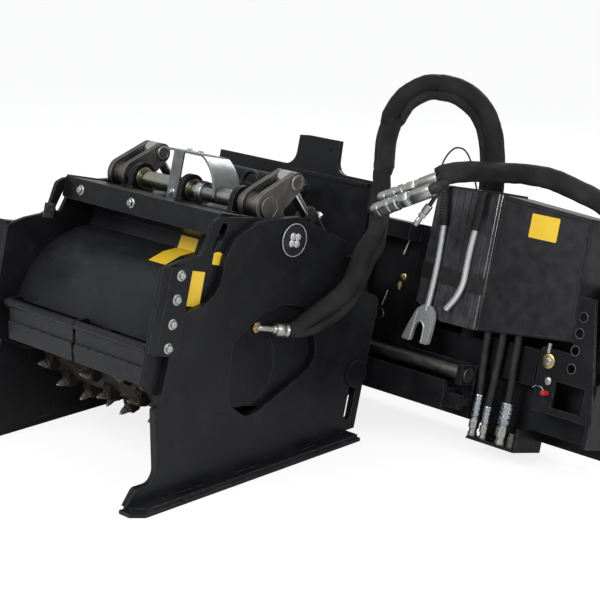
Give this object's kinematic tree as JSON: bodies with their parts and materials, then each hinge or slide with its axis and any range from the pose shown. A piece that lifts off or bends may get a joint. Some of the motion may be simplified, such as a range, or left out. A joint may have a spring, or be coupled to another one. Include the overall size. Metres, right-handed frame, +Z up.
{
  "type": "skid steer cold planer",
  "caption": "Pavement milling attachment: toothed drum in a hood on two depth skids, hung on a side-shifting, tilting carriage in front of a loader mounting frame.",
  "frame": {"origin": "on the ground under the middle of the whole machine", "axes": "+X to the machine's near side in the picture, along the drum, +Y to the loader, +Z up"},
  "size_m": [1.5, 1.2419, 0.9995],
  "materials": {
    "dark_paint": "satin",
    "black_paint": "satin",
    "worn_steel": "worn",
    "zinc": "zinc plated",
    "bright_rod": "polished",
    "cast": "rough",
    "carbide": "heat tinted",
    "rubber": "matt",
    "sleeve": "woven",
    "cover": "satin"
  },
  "bodies": {
    "mount_frame": {"frame": "dark_paint", "main_beam": "dark_paint", "loader_plate": "dark_paint", "rail": "dark_paint", "shift_rod": "bright_rod", "end_bracket": "dark_paint", "bracket_hardware": "worn_steel", "tray": "dark_paint", "tool_panel": "dark_paint", "tool_box": "cover", "box_strap": "rubber", "tool_tubes": "rubber", "wrench": "bright_rod", "lever_bar": "bright_rod", "valve_block": "black_paint", "valve_fittings": "zinc", "couplers": "zinc", "small_coupler": "zinc", "lead_hose": "sleeve", "supply_hoses": "rubber", "motor_hose": "sleeve"},
    "carriage": {"carriage": "dark_paint", "slider": "dark_paint", "shift_barrel": "black_paint", "tilt_pin": "worn_steel", "tilt_barrel": "black_paint"},
    "tilt_rod": {"tilt_rod": "bright_rod"},
    "housing": {"side_near": "dark_paint", "side_far": "dark_paint", "deck": "dark_paint", "hood": "dark_paint", "hood_back": "dark_paint", "rear_plate": "dark_paint", "keepers": "black_paint", "guide_blocks": "black_paint", "bearing": "black_paint", "motor": "black_paint", "motor_fitting": "zinc", "cross_shaft": "worn_steel", "guard": "zinc", "flap_rod": "dark_paint", "housing_bolts": "worn_steel"},
    "drum": {"drum": "cast", "pick_holders": "cast", "picks": "carbide"},
    "flap": {"flap": "dark_paint"},
    "skid_near": {"skid_near": "black_paint", "shoe_near": "black_paint"},
    "skid_far": {"skid_far": "black_paint", "shoe_far": "black_paint"},
    "crank_near": {"crank_near": "worn_steel", "crank_pin_near": "zinc", "crank_cap_near": "worn_steel"},
    "crank_far": {"crank_far": "worn_steel", "crank_pin_far": "zinc", "crank_cap_far": "worn_steel"},
    "lift_rod_near": {"lift_rod_near": "bright_rod"},
    "lift_rod_far": {"lift_rod_far": "bright_rod"},
    "lift_barrel_near": {"lift_barrel_near": "black_paint"},
    "lift_barrel_far": {"lift_barrel_far": "black_paint"}
  },
  "joints": [
    {"name": "side_shift", "type": "slide", "parent": "mount_frame", "child": "carriage", "axis": [1, 0, 0], "range_m": [0, 0.45], "deforming": ["motor_hose"]},
    {"name": "tilt", "type": "hinge", "parent": "carriage", "child": "housing", "pos_m": [-0.32, 0.28294, 0.5093], "axis": [0, 0.9659, -0.2588], "range_deg": [-8, 8], "deforming": ["motor_hose"]},
    {"name": "tilt_cylinder", "type": "slide", "parent": "carriage", "child": "tilt_rod", "axis": [1, 0, 0], "range_m": [-0.0205, 0.0205]},
    {"name": "drum_spin", "type": "hinge", "parent": "housing", "child": "drum", "pos_m": [-0.32, -0.18833, 0.296], "axis": [1, 0, 0], "continuous": true},
    {"name": "flap_swing", "type": "hinge", "parent": "housing", "child": "flap", "pos_m": [-0.32, -0.47988, 0.39793], "axis": [1, 0, 0], "range_deg": [-70, 0]},
    {"name": "depth_near", "type": "slide", "parent": "housing", "child": "skid_near", "axis": [0, 0.2588, 0.9659], "range_m": [0, 0.12]},
    {"name": "crank_near", "type": "hinge", "parent": "housing", "child": "crank_near", "pos_m": [-0.044, -0.06751, 0.70051], "axis": [1, 0, 0], "range_deg": [0, 75.01]},
    {"name": "lift_rod_near", "type": "hinge", "parent": "crank_near", "child": "lift_rod_near", "pos_m": [-0.044, 0.03647, 0.75056], "axis": [1, 0, 0], "range_deg": [-67.46, 0]},
    {"name": "lift_cylinder_near", "type": "slide", "parent": "lift_rod_near", "child": "lift_barrel_near", "axis": [0, 0.5433, -0.8395], "range_m": [0, 0.1336]},
    {"name": "depth_far", "type": "slide", "parent": "housing", "child": "skid_far", "axis": [0, 0.2588, 0.9659], "range_m": [0, 0.12]},
    {"name": "crank_far", "type": "hinge", "parent": "housing", "child": "crank_far", "pos_m": [-0.596, -0.06751, 0.70051], "axis": [1, 0, 0], "range_deg": [0, 75.01]},
    {"name": "lift_rod_far", "type": "hinge", "parent": "crank_far", "child": "lift_rod_far", "pos_m": [-0.596, 0.03647, 0.75056], "axis": [1, 0, 0], "range_deg": [-67.46, 0]},
    {"name": "lift_cylinder_far", "type": "slide", "parent": "lift_rod_far", "child": "lift_barrel_far", "axis": [0, 0.5433, -0.8395], "range_m": [0, 0.1336]}
  ],
  "couplings": [
    {"joint": "tilt_cylinder", "follows": "tilt", "m_per_rad": 0.142},
    {"joint": "crank_near", "follows": "depth_near", "rad_per_m": 10.908},
    {"joint": "lift_rod_near", "follows": "depth_near", "rad_per_m": -9.809},
    {"joint": "lift_cylinder_near", "follows": "depth_near", "ratio": 1.1118},
    {"joint": "crank_far", "follows": "depth_far", "rad_per_m": 10.908},
    {"joint": "lift_rod_far", "follows": "depth_far", "rad_per_m": -9.809},
    {"joint": "lift_cylinder_far", "follows": "depth_far", "ratio": 1.1118}
  ]
}
